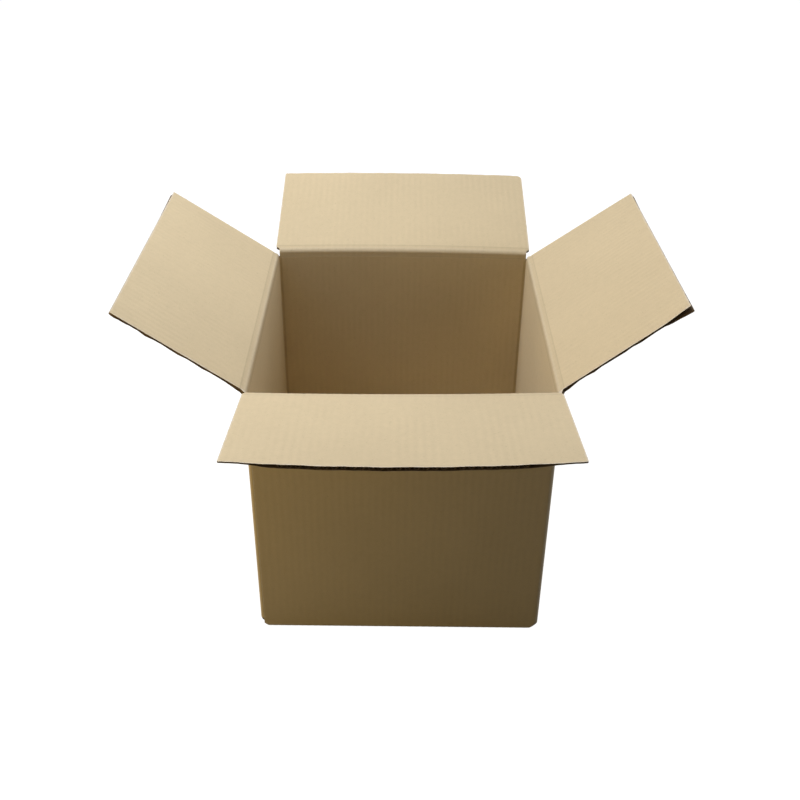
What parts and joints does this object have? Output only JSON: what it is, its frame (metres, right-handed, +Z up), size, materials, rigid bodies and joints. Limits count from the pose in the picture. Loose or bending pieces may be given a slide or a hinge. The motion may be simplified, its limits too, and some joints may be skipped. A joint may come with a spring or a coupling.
{
  "type": "open cardboard box",
  "caption": "Open corrugated cardboard box standing on its taped bottom, its hinged top flaps folded outwards.",
  "frame": {"origin": "middle of the carton's underside, at floor level", "axes": "+X to the right and +Y to the back as the open box is seen from its front, +Z up; the glued lap joint is in the front left corner"},
  "size_m": [0.5459, 0.5934, 0.4061],
  "materials": {
    "kraft_board": "plain unbleached kraft liner, matt, with faint washboard lines over the flutes",
    "packing_tape": "thin tan film tape, lightly glossy"
  },
  "bodies": {
    "carton": {"carton": "kraft_board", "bottom_tape": "packing_tape"},
    "front_flap": {"front_flap": "kraft_board"},
    "back_flap": {"back_flap": "kraft_board"},
    "left_flap": {"left_flap": "kraft_board"},
    "right_flap": {"right_flap": "kraft_board"}
  },
  "joints": [
    {"name": "front_flap_crease", "type": "hinge", "parent": "carton", "child": "front_flap", "pos_m": [0, -0.1562, 0.318], "axis": [1, 0, 0], "range_deg": [-170, 100]},
    {"name": "back_flap_crease", "type": "hinge", "parent": "carton", "child": "back_flap", "pos_m": [0, 0.1562, 0.318], "axis": [-1, 0, 0], "range_deg": [-162.5, 107.5]},
    {"name": "left_flap_crease", "type": "hinge", "parent": "carton", "child": "left_flap", "pos_m": [-0.1562, 0, 0.3135], "axis": [0, -1, 0], "range_deg": [-145.5, 124.5]},
    {"name": "right_flap_crease", "type": "hinge", "parent": "carton", "child": "right_flap", "pos_m": [0.1562, 0, 0.3135], "axis": [0, 1, 0], "range_deg": [-142, 128]}
  ]
}
